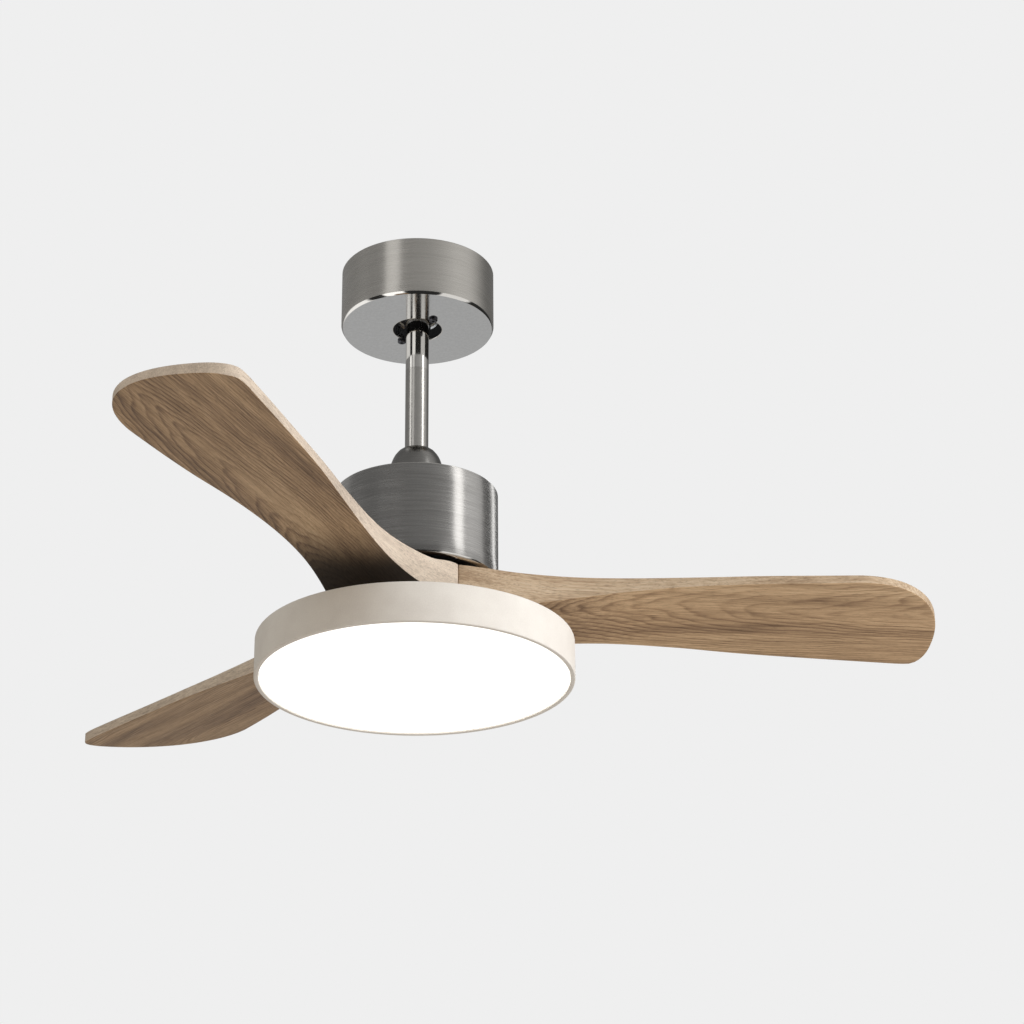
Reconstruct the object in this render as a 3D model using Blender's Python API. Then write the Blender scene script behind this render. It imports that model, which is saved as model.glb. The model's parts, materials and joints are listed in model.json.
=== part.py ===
"""Ceiling fan with a round light: three carved wooden blades under a brushed motor, on a short downrod.

Metres, +Z up. The origin is the middle of the hanger bracket's ceiling face, so the fan hangs below z = 0.
"""

from math import acos, asin, cos, degrees, pi, radians, sin, sqrt

import bmesh
import bpy
from mathutils import Matrix, Vector

# Driving sizes.
GAP = 0.0003                # clearance between neighbouring pieces
SHEET = 0.0012              # canopy, motor cover and lamp pan sheet
CANOPY_RADIUS = 0.078
CANOPY_BOTTOM = -0.064
CANOPY_HOLE = 0.0248
BALL_CENTRE = -0.034
BALL_RADIUS = 0.025
ROD_RADIUS = 0.0118
ROD_BORE = 0.0088
ROD_TOP = -0.016
ROD_BOTTOM = -0.2325
MOTOR_RADIUS = 0.0815
MOTOR_TOP = -0.2523
MOTOR_BOTTOM = -0.3474
SHAFT_RADIUS = 0.0085
SHAFT_BORE = 0.0055
SHAFT_BOTTOM = -0.4095
WOOD_TOP = -0.3506
WOOD_BOTTOM = -0.3900
WOOD_BORE = 0.020
BLADE_COUNT = 3
BLADE_TURN = 5.2            # degrees, the first blade's direction from +X
LIGHT_RADIUS = 0.1555
LIGHT_TOP = -0.4092
LIGHT_BOTTOM = -0.4490
PIN_RADIUS = 0.003


# Materials.

def linear(channel):
    return channel / 12.92 if channel <= 0.04045 else ((channel + 0.055) / 1.055) ** 2.4


def finish(name, colour, metallic, roughness):
    """A plain Principled material; colour is an sRGB hex string."""
    material = bpy.data.materials.new(name)
    material.use_nodes = True
    shader = material.node_tree.nodes["Principled BSDF"]
    rgb = [linear(int(colour[i:i + 2], 16) / 255) for i in (0, 2, 4)]
    shader.inputs["Base Color"].default_value = (*rgb, 1)
    shader.inputs["Metallic"].default_value = metallic
    shader.inputs["Roughness"].default_value = roughness
    material.diffuse_color = (*rgb, 1)
    return material


# Mesh helpers.

def add_object(name, bm, material):
    """Closes up the mesh, turns its faces outward and links it as an object of its own."""
    bmesh.ops.remove_doubles(bm, verts=bm.verts, dist=1e-6)
    bmesh.ops.dissolve_degenerate(bm, edges=bm.edges, dist=1e-7)
    bmesh.ops.recalc_face_normals(bm, faces=bm.faces)
    mesh = bpy.data.meshes.new(name)
    bm.to_mesh(mesh)
    bm.free()
    mesh.materials.append(material)
    mesh.shade_smooth()
    mesh.set_sharp_from_angle(angle=radians(35))
    obj = bpy.data.objects.new(name, mesh)
    bpy.context.scene.collection.objects.link(obj)
    return obj


def turned_mesh(profile, steps):
    """Turns a closed (radius, z) outline about Z. An outline may start and end on the axis."""
    bm = bmesh.new()
    verts = [bm.verts.new((radius, 0, z)) for radius, z in profile]
    edges = [bm.edges.new(pair) for pair in zip(verts, verts[1:])]
    if profile[0][0] > 0 or profile[-1][0] > 0:
        edges.append(bm.edges.new((verts[-1], verts[0])))
    bmesh.ops.spin(bm, geom=verts + edges, cent=(0, 0, 0), axis=(0, 0, 1), angle=2 * pi,
                   steps=steps, use_merge=True, use_duplicate=False)
    return bm


def turned(name, profile, material, steps=48):
    return add_object(name, turned_mesh(profile, steps), material)


def disc_profile(outer, inner, top, bottom, edge=0.0):
    """The outline of a flat ring, with its outer edges chamfered by edge."""
    if edge == 0:
        return [(inner, top), (outer, top), (outer, bottom), (inner, bottom)]
    return [(inner, top), (outer - edge, top), (outer, top - edge),
            (outer, bottom + edge), (outer - edge, bottom), (inner, bottom)]


def arc(centre, radius, start, end, steps):
    """Points on an arc in the (radius, z) plane; the angles are measured from straight down."""
    angles = [radians(start + (end - start) * i / steps) for i in range(steps + 1)]
    return [(centre[0] + radius * sin(a), centre[1] - radius * cos(a)) for a in angles]


def box_mesh(size, centre, edge=0.0):
    bm = bmesh.new()
    place = Matrix.Translation(centre) @ Matrix.Diagonal((*size, 1))
    bmesh.ops.create_cube(bm, size=1, matrix=place)
    if edge:
        bmesh.ops.bevel(bm, geom=bm.edges[:], offset=edge, segments=1, affect="EDGES")
    return bm


def rod_mesh(radius, start, end, steps):
    """A solid round bar between two points."""
    start, end = Vector(start), Vector(end)
    along = end - start
    turn = along.to_track_quat("Z", "Y").to_matrix().to_4x4()
    bm = bmesh.new()
    bmesh.ops.create_cone(bm, cap_ends=True, segments=steps, radius1=radius, radius2=radius,
                          depth=along.length, matrix=Matrix.Translation((start + end) / 2) @ turn)
    return bm


def prism_mesh(outline, bottom, top):
    """Extrudes a closed flat outline of (x, y) points from bottom to top."""
    bm = bmesh.new()
    face = bm.faces.new([bm.verts.new((x, y, bottom)) for x, y in outline])
    raised = bmesh.ops.extrude_face_region(bm, geom=[face])
    lifted = [item for item in raised["geom"] if isinstance(item, bmesh.types.BMVert)]
    bmesh.ops.translate(bm, verts=lifted, vec=(0, 0, top - bottom))
    return bm


def turn_about_z(bm, angle):
    bmesh.ops.rotate(bm, verts=bm.verts, cent=(0, 0, 0), matrix=Matrix.Rotation(radians(angle), 3, "Z"))
    return bm


def combine(obj, tools, operation):
    """Cuts each tool mesh from the object, or joins it on, with the exact solver."""
    for number, bm in enumerate(tools):
        tool = add_object(f"{obj.name}.{operation.lower()}{number}", bm, obj.data.materials[0])
        tool.hide_render = True
        tool.display_type = "WIRE"
        step = obj.modifiers.new(tool.name, "BOOLEAN")
        step.operation = operation
        step.solver = "EXACT"
        step.object = tool
    return obj


def polar(radius, angle, z=0.0):
    return (radius * cos(radians(angle)), radius * sin(radians(angle)), z)


def screw(name, place, head_bottom, tip_top, head_radius, shank_radius, material):
    """A pan-head screw driven upwards: its head hangs under a plate and its shank runs up."""
    head = 0.0024
    profile = [(0, head_bottom + 0.0009), (head_radius * 0.35, head_bottom + 0.0009),
               (head_radius * 0.35, head_bottom), (head_radius * 0.75, head_bottom),
               (head_radius, head_bottom + 0.0008), (head_radius, head_bottom + head),
               (shank_radius, head_bottom + head), (shank_radius, tip_top), (0, tip_top)]
    bm = turned_mesh(profile, 10)
    bmesh.ops.translate(bm, verts=bm.verts, vec=(place[0], place[1], 0))
    return add_object(name, bm, material)


def blend(amount):
    amount = min(max(amount, 0), 1)
    return amount * amount * (3 - 2 * amount)


def through(points, x):
    """The height at x of a smooth curve through (x, height) points, each with its neighbours' slope."""
    if x <= points[0][0]:
        slope = (points[1][1] - points[0][1]) / (points[1][0] - points[0][0])
        return points[0][1] + slope * (x - points[0][0])
    if x >= points[-1][0]:
        return points[-1][1]
    i = max(n for n, point in enumerate(points[:-1]) if point[0] <= x)

    def slope_at(n):
        before, after = points[max(n - 1, 0)], points[min(n + 1, len(points) - 1)]
        return (after[1] - before[1]) / (after[0] - before[0])

    (x0, y0), (x1, y1) = points[i], points[i + 1]
    span = x1 - x0
    t = (x - x0) / span
    return (y0 * (1 + 2 * t) * (1 - t) ** 2 + slope_at(i) * span * t * (1 - t) ** 2
            + y1 * t * t * (3 - 2 * t) + slope_at(i + 1) * span * t * t * (t - 1))


# Ceiling mount: bracket, canopy and wiring.

SADDLE_BORE = BALL_RADIUS + 0.0023
SADDLE_WALL = 0.002
FLANGE_TOP = BALL_CENTRE - 0.0064
FLANGE_THICK = 0.002
FLANGE_RADIUS = 0.0335
ARM_X = 0.035
ARM_WIDTH = 0.028
BAR_THICK = 0.003
BAR_SIZE = (0.132, 0.040)
SADDLE_START = 46           # degrees up from straight down, where the saddle begins
NOTCH_ANGLES = (-56, 124)
NOTCH_RADIUS = 0.0285
FOOT_BOTTOM = CANOPY_BOTTOM + SHEET + GAP


def make_bracket(material):
    """A bar on the ceiling, two arms down, and a dished saddle that the ball sits in."""
    top_angle = degrees(acos((BALL_CENTRE - FLANGE_TOP) / SADDLE_BORE))
    flange_bottom = FLANGE_TOP - FLANGE_THICK
    outer = SADDLE_BORE + SADDLE_WALL
    meet = degrees(acos((BALL_CENTRE - flange_bottom) / outer))
    centre = (0, BALL_CENTRE)
    profile = arc(centre, SADDLE_BORE, SADDLE_START, top_angle, 4)
    profile += [(FLANGE_RADIUS, FLANGE_TOP), (FLANGE_RADIUS, flange_bottom)]
    profile += arc(centre, outer, meet, SADDLE_START, 3)
    bracket = turned("hanger_bracket", profile, material, 32)
    arm_height = -FLANGE_TOP + FLANGE_THICK
    joins = []
    for side in (-1, 1):
        arm_centre = (side * ARM_X, 0, (FLANGE_TOP - FLANGE_THICK) / 2 - 0.0002)
        joins.append(box_mesh((0.0022, ARM_WIDTH, arm_height - 0.0006), arm_centre))
        lug_centre = (side * 0.0335, 0, FLANGE_TOP - FLANGE_THICK / 2)
        joins.append(box_mesh((0.0050, ARM_WIDTH - 0.0010, FLANGE_THICK - 0.0004), lug_centre))
    joins.append(box_mesh((*BAR_SIZE, BAR_THICK), (0, 0, -BAR_THICK / 2), 0.0006))
    for angle in NOTCH_ANGLES:
        leg_height = FLANGE_TOP - 0.0004 - FOOT_BOTTOM
        leg = box_mesh((0.0020, 0.0080, leg_height), (0.0327, 0, FOOT_BOTTOM + leg_height / 2))
        foot = box_mesh((0.0090, 0.0076, 0.0020), (0.0289, 0, FOOT_BOTTOM + 0.0011))
        joins += [turn_about_z(leg, angle), turn_about_z(foot, angle)]
    combine(bracket, joins, "UNION")
    cuts = [box_mesh((2 * ROD_RADIUS + 0.0036, 0.040, 0.030), (0, 0.020, BALL_CENTRE - 0.0205))]
    for side in (-1, 1):
        cuts.append(box_mesh((0.0050, 0.0120, 0.010), (side * 0.024, 0, 0)))
    for angle in NOTCH_ANGLES:
        x, y, _ = polar(NOTCH_RADIUS, angle)
        cuts.append(rod_mesh(0.0021, (x, y, FOOT_BOTTOM - 0.002), (x, y, FOOT_BOTTOM + 0.004), 12))
    return combine(bracket, cuts, "DIFFERENCE")


def make_canopy(material):
    """A spun cup, open at the ceiling, with a rounded lower lip and a hole for the rod."""
    lip = 0.0030
    inside = CANOPY_RADIUS - SHEET
    profile = [(inside, -0.0006), (CANOPY_RADIUS, -0.0006)]
    outer_lip = arc((CANOPY_RADIUS - lip, CANOPY_BOTTOM + lip), lip, 90, 0, 2)
    inner_lip = arc((CANOPY_RADIUS - lip, CANOPY_BOTTOM + lip), lip - SHEET, 0, 90, 1)
    profile += outer_lip
    profile += [(CANOPY_HOLE, CANOPY_BOTTOM), (CANOPY_HOLE, CANOPY_BOTTOM + SHEET)]
    profile += inner_lip
    canopy = turned("canopy", profile, material, 48)
    notches = []
    for angle in NOTCH_ANGLES:
        x, y, _ = polar(NOTCH_RADIUS, angle)
        notches.append(rod_mesh(0.0032, (x, y, CANOPY_BOTTOM - 0.002), (x, y, CANOPY_BOTTOM + 0.004), 16))
        slot = box_mesh((0.0064, 0.0064, 0.006), (NOTCH_RADIUS - 0.0032, 0, CANOPY_BOTTOM + 0.001))
        notches.append(turn_about_z(slot, angle))
    return combine(canopy, notches, "DIFFERENCE")


def make_ceiling_mount(steel, nickel, dark_steel, plastic, nylon):
    make_bracket(steel)
    make_canopy(nickel)
    head_bottom = CANOPY_BOTTOM - GAP - 0.0024
    for number, angle in enumerate(NOTCH_ANGLES, 1):
        place = polar(NOTCH_RADIUS, angle)
        screw(f"canopy_screw_{number}", place, head_bottom, FOOT_BOTTOM + 0.0050, 0.0044, 0.0018, dark_steel)
    underside = -BAR_THICK - GAP
    receiver = box_mesh((0.0240, 0.0360, 0.0200), (-0.0525, 0, underside - 0.0100), 0.0015)
    add_object("receiver_box", receiver, plastic)
    make_terminal_block(nylon, underside)


def make_terminal_block(material, underside):
    """Three screw terminals in one moulding."""
    block = add_object("terminal_block", box_mesh((0.0180, 0.0330, 0.0130), (0.0520, 0, underside - 0.0065),
                                                  0.0008), material)
    cuts = []
    for row in (-1, 0, 1):
        y = row * 0.0105
        cuts.append(rod_mesh(0.0030, (0.0520, y, underside - 0.020), (0.0520, y, underside - 0.0075), 12))
    return combine(block, cuts, "DIFFERENCE")


# Ball joint and downrod.

def make_ball_seat(material):
    """The nylon liner between the saddle and the ball, open on one side as the saddle is."""
    inner, outer = BALL_RADIUS + GAP, SADDLE_BORE - GAP
    centre = (0, BALL_CENTRE)
    profile = arc(centre, inner, SADDLE_START, 72, 3) + arc(centre, outer, 72, SADDLE_START, 3)
    seat = turned("ball_seat", profile, material, 32)
    slot = box_mesh((2 * ROD_RADIUS + 0.0040, 0.040, 0.030), (0, 0.020, BALL_CENTRE - 0.0150))
    return combine(seat, [slot], "DIFFERENCE")


BALL_PIN_Z = BALL_CENTRE + 0.006
GRUB_Z = BALL_CENTRE + 0.013
YOKE_TOP = -0.2115
YOKE_RADIUS = 0.0180
YOKE_FLANGE_TOP = -0.2486
CLEVIS_Z = -0.2235
YOKE_SCREW_Z = -0.2160
YOKE_STEP = ROD_BOTTOM - GAP


def make_ball(material):
    bore = ROD_RADIUS + GAP
    start = degrees(asin(bore / BALL_RADIUS))
    profile = arc((0, BALL_CENTRE), BALL_RADIUS, start, 130, 7)
    profile.append((bore, profile[-1][1]))
    ball = turned("hanger_ball", profile, material, 32)
    cuts = [rod_mesh(PIN_RADIUS + GAP, (-0.03, 0, BALL_PIN_Z), (0.03, 0, BALL_PIN_Z), 10),
            rod_mesh(0.0023, (0, -0.030, GRUB_Z), (0, 0, GRUB_Z), 8)]
    return combine(ball, cuts, "DIFFERENCE")


def make_rod(material):
    profile = disc_profile(ROD_RADIUS, ROD_BORE, ROD_TOP, ROD_BOTTOM, 0.0006)
    rod = turned("downrod", profile, material, 32)
    cuts = [rod_mesh(PIN_RADIUS + GAP, (-0.02, 0, z), (0.02, 0, z), 10) for z in (BALL_PIN_Z, CLEVIS_Z)]
    return combine(rod, cuts, "DIFFERENCE")


def make_coupling_cover(material):
    """The dome over the yoke: a slim neck on the rod that swells to a skirt on the motor."""
    foot = MOTOR_TOP + GAP
    outer = [(0.0128, -0.2016), (0.0164, -0.2030), (0.0203, -0.2068), (0.0231, -0.2112),
             (0.0253, -0.2170), (0.0273, -0.2262), (0.0288, -0.2380), (0.0300, foot)]
    inner = [(radius - SHEET, z - 0.0006) for radius, z in outer[1:-1]]
    profile = [(0.0122, -0.2016)] + outer + [(0.0300 - SHEET, foot)] + inner[::-1] + [(0.0122, -0.2028)]
    return turned("coupling_cover", profile, material, 32)


def make_yoke(material):
    """The cast collar on the motor that the rod drops into."""
    bore = ROD_RADIUS + GAP
    shaft = SHAFT_RADIUS + GAP
    flange_bottom = MOTOR_TOP + GAP
    profile = [(bore, YOKE_TOP), (YOKE_RADIUS - 0.001, YOKE_TOP), (YOKE_RADIUS, YOKE_TOP - 0.001),
               (YOKE_RADIUS, YOKE_FLANGE_TOP), (0.0275, YOKE_FLANGE_TOP), (0.0275, flange_bottom),
               (shaft, flange_bottom), (shaft, YOKE_STEP), (bore, YOKE_STEP)]
    yoke = turned("motor_yoke", profile, material, 24)
    cuts = [rod_mesh(PIN_RADIUS + GAP, (-0.03, 0, CLEVIS_Z), (0.03, 0, CLEVIS_Z), 10),
            rod_mesh(0.0027, (0, -0.03, YOKE_SCREW_Z), (0, 0.03, YOKE_SCREW_Z), 8)]
    return combine(yoke, cuts, "DIFFERENCE")


def make_headed_pin(name, z, start, end, material):
    """A pin along X with a flat head at its start."""
    head = 0.0014
    profile = [(0, 0), (0.0046, 0), (0.0046, head), (PIN_RADIUS, head), (PIN_RADIUS, end - start - 0.0006),
               (PIN_RADIUS - 0.0006, end - start), (0, end - start)]
    bm = turned_mesh(profile, 10)
    bmesh.ops.rotate(bm, verts=bm.verts, cent=(0, 0, 0), matrix=Matrix.Rotation(pi / 2, 3, "Y"))
    bmesh.ops.translate(bm, verts=bm.verts, vec=(start, 0, z))
    return add_object(name, bm, material)


def make_downrod_group(nickel, dark_nickel, zinc, nylon, steel):
    make_ball(nylon)
    make_rod(nickel)
    add_object("ball_pin", rod_mesh(PIN_RADIUS, (-0.0222, 0, BALL_PIN_Z), (0.0222, 0, BALL_PIN_Z), 10), steel)
    grub_end = -(ROD_RADIUS + GAP)
    add_object("ball_set_screw", rod_mesh(0.0020, (0, grub_end - 0.0080, GRUB_Z), (0, grub_end, GRUB_Z), 12),
               steel)
    make_coupling_cover(dark_nickel)
    make_yoke(zinc)
    make_headed_pin("clevis_pin", CLEVIS_Z, -YOKE_RADIUS - GAP - 0.0014, YOKE_RADIUS + 0.0052, steel)
    clip = turned_mesh(disc_profile(0.0056, PIN_RADIUS + GAP, 0.0006, -0.0006), 10)
    bmesh.ops.rotate(clip, verts=clip.verts, cent=(0, 0, 0), matrix=Matrix.Rotation(pi / 2, 3, "Y"))
    bmesh.ops.translate(clip, verts=clip.verts, vec=(YOKE_RADIUS + 0.0018, 0, CLEVIS_Z))
    add_object("clevis_clip", clip, steel)
    for number, side in enumerate((-1, 1), 1):
        ends = (0, side * (ROD_RADIUS + GAP), YOKE_SCREW_Z), (0, side * (YOKE_RADIUS + 0.002), YOKE_SCREW_Z)
        add_object(f"yoke_set_screw_{number}", rod_mesh(0.0024, *ends, 12), steel)


# Motor.

COVER_PLATE = 0.0015
ROTOR_RADIUS = 0.0715
ROTOR_TOP = -0.2640
ROTOR_SPLIT = -0.3030
ROTOR_BOTTOM = -0.3410
ROTOR_WALL = 0.0030
BEARING_RADIUS = 0.0170
BEARING_HEIGHT = 0.0080
HUB_PLATE_BOTTOM = WOOD_TOP + GAP
HUB_PLATE_TOP = HUB_PLATE_BOTTOM + 0.0035
HUB_PLATE_RADIUS = 0.0620
STATOR_TOP = -0.2950
STATOR_BOTTOM = -0.3110
STATOR_RADIUS = 0.0640
STATOR_TEETH = 12


def make_motor_cover(material):
    """The brushed cup over the motor, open below, with a turned-in bright lower rim."""
    rim = 0.0022
    inside = MOTOR_RADIUS - SHEET
    top_edge = 0.0012
    profile = [(0.0130, MOTOR_TOP), (MOTOR_RADIUS - top_edge, MOTOR_TOP), (MOTOR_RADIUS, MOTOR_TOP - top_edge),
               (MOTOR_RADIUS, MOTOR_BOTTOM + rim), (MOTOR_RADIUS - rim, MOTOR_BOTTOM),
               (MOTOR_RADIUS - 0.0055, MOTOR_BOTTOM), (MOTOR_RADIUS - 0.0055, MOTOR_BOTTOM + SHEET),
               (inside, MOTOR_BOTTOM + rim + SHEET), (inside, MOTOR_TOP - COVER_PLATE),
               (0.0130, MOTOR_TOP - COVER_PLATE)]
    return turned("motor_cover", profile, material, 48)


def make_shaft(material):
    """The fixed hollow shaft from the yoke down to the light, which the wires run through."""
    profile = disc_profile(SHAFT_RADIUS, SHAFT_BORE, YOKE_STEP - 0.0012, SHAFT_BOTTOM, 0.0005)
    return turned("motor_shaft", profile, material, 16)


def bearing_seat(top, bottom, opening):
    """The inner outline of a hub whose bearing pocket opens upwards or downwards."""
    pocket = BEARING_RADIUS + GAP
    clear = SHAFT_RADIUS + 0.0020
    ledge = 0.0020
    if opening == "down":
        return [(pocket, bottom), (pocket, bottom + BEARING_HEIGHT + GAP), (clear, bottom + BEARING_HEIGHT + GAP),
                (clear, top)]
    return [(clear, bottom), (clear, bottom + ledge), (pocket, bottom + ledge), (pocket, top)]


def make_rotor_caps(material):
    plate = 0.0030
    hub = 0.0210
    top_hub_bottom = ROTOR_TOP - 0.0115
    top_profile = [(ROTOR_RADIUS - 0.002, ROTOR_TOP), (ROTOR_RADIUS, ROTOR_TOP - 0.002),
                   (ROTOR_RADIUS, ROTOR_SPLIT + GAP), (ROTOR_RADIUS - ROTOR_WALL, ROTOR_SPLIT + GAP),
                   (ROTOR_RADIUS - ROTOR_WALL, ROTOR_TOP - plate), (hub, ROTOR_TOP - plate),
                   (hub, top_hub_bottom)] + bearing_seat(ROTOR_TOP, top_hub_bottom, "down")
    turned("rotor_top_cap", top_profile, material, 28)
    low_hub_top = ROTOR_BOTTOM + 0.0125
    low_profile = [(ROTOR_RADIUS, ROTOR_SPLIT), (ROTOR_RADIUS, ROTOR_BOTTOM + 0.002),
                   (ROTOR_RADIUS - 0.002, ROTOR_BOTTOM), (0.0340, ROTOR_BOTTOM),
                   (0.0340, HUB_PLATE_TOP + GAP)]
    low_profile += bearing_seat(low_hub_top, HUB_PLATE_TOP + GAP, "up")
    low_profile += [(hub, low_hub_top), (hub, ROTOR_BOTTOM + plate),
                    (ROTOR_RADIUS - ROTOR_WALL, ROTOR_BOTTOM + plate), (ROTOR_RADIUS - ROTOR_WALL, ROTOR_SPLIT)]
    turned("rotor_bottom_cap", low_profile, material, 28)
    return top_hub_bottom


def make_bearing(name, top, material):
    """A shielded ball bearing: two races with a shallow groove between them."""
    bottom = top - BEARING_HEIGHT
    inner, outer = SHAFT_RADIUS + GAP, BEARING_RADIUS
    groove = 0.0006
    profile = [(inner, top), (inner + 0.0026, top), (inner + 0.0026, top - groove), (outer - 0.0026, top - groove),
               (outer - 0.0026, top), (outer, top), (outer, bottom), (outer - 0.0026, bottom),
               (outer - 0.0026, bottom + groove), (inner + 0.0026, bottom + groove), (inner + 0.0026, bottom),
               (inner, bottom)]
    return turned(name, profile, material, 16)


def stator_outline():
    """Round the core: narrow tooth necks that widen to broad tooth faces."""
    points = []
    pitch = 360 / STATOR_TEETH
    for tooth in range(STATOR_TEETH):
        middle = tooth * pitch
        neck = degrees(0.0045 / 0.030)
        neck_outer = degrees(0.0045 / (STATOR_RADIUS - 0.005))
        face = pitch * 0.42
        for radius, angle in ((0.0270, middle - neck), (STATOR_RADIUS - 0.0050, middle - neck_outer),
                              (STATOR_RADIUS - 0.0030, middle - face), (STATOR_RADIUS, middle - face),
                              (STATOR_RADIUS, middle + face), (STATOR_RADIUS - 0.0030, middle + face),
                              (STATOR_RADIUS - 0.0050, middle + neck_outer), (0.0270, middle + neck)):
            points.append(polar(radius, angle)[:2])
    return points


def make_stator(steel, copper):
    core = add_object("stator_core", prism_mesh(stator_outline(), STATOR_BOTTOM, STATOR_TOP), steel)
    combine(core, [rod_mesh(SHAFT_RADIUS + GAP, (0, 0, -0.4), (0, 0, -0.2), 16)], "DIFFERENCE")
    for name, near, far in (("winding_upper", STATOR_TOP + GAP, STATOR_TOP + 0.0090),
                            ("winding_lower", STATOR_BOTTOM - 0.0090, STATOR_BOTTOM - GAP)):
        outline = []
        steps_each = 4
        for step in range(STATOR_TEETH * steps_each):
            angle = step * 360 / (STATOR_TEETH * steps_each)
            swell = 0.5 + 0.5 * cos(radians(angle * STATOR_TEETH))
            outline.append(polar(0.0500 + 0.0080 * swell, angle)[:2])
        winding = add_object(name, prism_mesh(outline, near, far), copper)
        combine(winding, [rod_mesh(0.0290, (0, 0, near - 0.01), (0, 0, far + 0.01), 20)], "DIFFERENCE")


def make_magnet_ring(material):
    outer = ROTOR_RADIUS - ROTOR_WALL - GAP
    return turned("magnet_ring", disc_profile(outer, outer - 0.0030, STATOR_TOP + 0.003, STATOR_BOTTOM - 0.003),
                  material, 28)


def make_motor(nickel, steel, aluminium, copper, magnet):
    make_motor_cover(nickel)
    make_shaft(steel)
    top_bearing_bottom = make_rotor_caps(aluminium)
    make_bearing("upper_bearing", top_bearing_bottom + BEARING_HEIGHT, steel)
    make_bearing("lower_bearing", HUB_PLATE_TOP + GAP + 0.0020 + GAP + BEARING_HEIGHT, steel)
    make_stator(steel, copper)
    make_magnet_ring(magnet)


# Blades.

BLADE_SCREW_RADIUS = 0.042
BLADE_SCREW_SPREAD = 26     # degrees either side of the blade's middle
CLAMP_TOP = WOOD_BOTTOM - GAP
CLAMP_BOTTOM = CLAMP_TOP - 0.0025
CLAMP_RADIUS = 0.0580
BLADE_TIP = 0.5285
TIP_Y = 0.045               # the tip's furthest point lies towards the trailing edge
LEAD_CORNER = 0.430         # where the leading edge starts its long sweep to the tip
TRAIL_CORNER = 0.511
CORNER_POWER = 2.2
HALF_WIDTH = ((0.036, 0.0624), (0.065, 0.0560), (0.100, 0.0483), (0.150, 0.0441), (0.200, 0.0464),
              (0.270, 0.0553), (0.340, 0.0655), (0.420, 0.0730), (0.500, 0.0795))
LEAD_TOP = ((0.036, WOOD_TOP), (0.150, -0.3509), (0.330, -0.3500), (0.410, -0.3490), (0.500, -0.3470),
            (0.530, -0.3465))
LEAD_BOTTOM = ((0.060, WOOD_BOTTOM), (0.083, -0.3880), (0.105, -0.3832), (0.147, -0.3744), (0.178, -0.3692),
               (0.209, -0.3651), (0.249, -0.3615), (0.289, -0.3597), (0.330, -0.3590), (0.410, -0.3575),
               (0.500, -0.3540), (0.530, -0.3530))
TRAIL_TOP = ((0.036, WOOD_TOP), (0.066, -0.3571), (0.105, -0.3602), (0.145, -0.3627), (0.200, -0.3654),
             (0.300, -0.3693), (0.360, -0.3705), (0.486, -0.3688), (0.530, -0.3684))
TRAIL_BOTTOM = ((0.060, WOOD_BOTTOM), (0.105, -0.3896), (0.147, -0.3868), (0.200, -0.3833), (0.270, -0.3811),
                (0.316, -0.3808), (0.486, -0.3793), (0.530, -0.3790))
EDGE_CUT = 0.0009           # chamfer along the blade's edges


def sweep(x, start, half_width, side):
    """The edge's y at x, past start bending round a superellipse to the tip."""
    if x <= start:
        return side * half_width
    t = min((x - start) / (BLADE_TIP - start), 1)
    reach = abs(side * half_width - TIP_Y)
    return TIP_Y + side * reach * (1 - t ** CORNER_POWER) ** (1 / CORNER_POWER)


def blade_section(x):
    """The closed outline of the blade at x, as (x, y, z) points, leading edge first."""
    lead = sweep(x, LEAD_CORNER, through(HALF_WIDTH, min(x, LEAD_CORNER)), -1)
    trail = sweep(x, TRAIL_CORNER, through(HALF_WIDTH, min(x, TRAIL_CORNER)), 1)
    edge_tops = [through(table, max(x, table[0][0])) for table in (LEAD_TOP, TRAIL_TOP)]
    edge_bottoms = [through(table, max(x, table[0][0])) for table in (LEAD_BOTTOM, TRAIL_BOTTOM)]
    width_here = 2 * through(HALF_WIDTH, x)
    cut = min(EDGE_CUT, (trail - lead) / 4)

    def across(y):
        return min(max((y + width_here / 2) / width_here, 0), 1)

    def top(y):
        clear_of_hub = blend((sqrt(x * x + y * y) - HUB_PLATE_RADIUS - 0.002) / 0.030)
        carved = edge_tops[0] + (edge_tops[1] - edge_tops[0]) * across(y)
        return WOOD_TOP + (carved - WOOD_TOP) * clear_of_hub

    def bottom(y):
        return edge_bottoms[0] + (edge_bottoms[1] - edge_bottoms[0]) * across(y)

    inner = [lead + cut + (trail - lead - 2 * cut) * i / 4 for i in range(5)]
    points = [(x, lead, bottom(lead) + cut)]
    points += [(x, y, bottom(y)) for y in inner]
    points += [(x, trail, bottom(trail) + cut), (x, trail, top(trail) - cut)]
    points += [(x, y, top(y)) for y in reversed(inner)]
    points.append((x, lead, top(lead) - cut))
    return points


def blade_stations():
    """Even steps along the blade, closing up where the corners turn."""
    root = [-0.010 + 0.0130 * i for i in range(12)]
    body = [0.1330 + 0.0270 * i for i in range(1, 11)]
    tip = []
    for i in range(1, 11):
        turn = pi / 2 * i / 11
        tip.append(LEAD_CORNER + (BLADE_TIP - LEAD_CORNER) * sin(turn))
    return root + body + tip + [BLADE_TIP - 0.00002]


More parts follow.
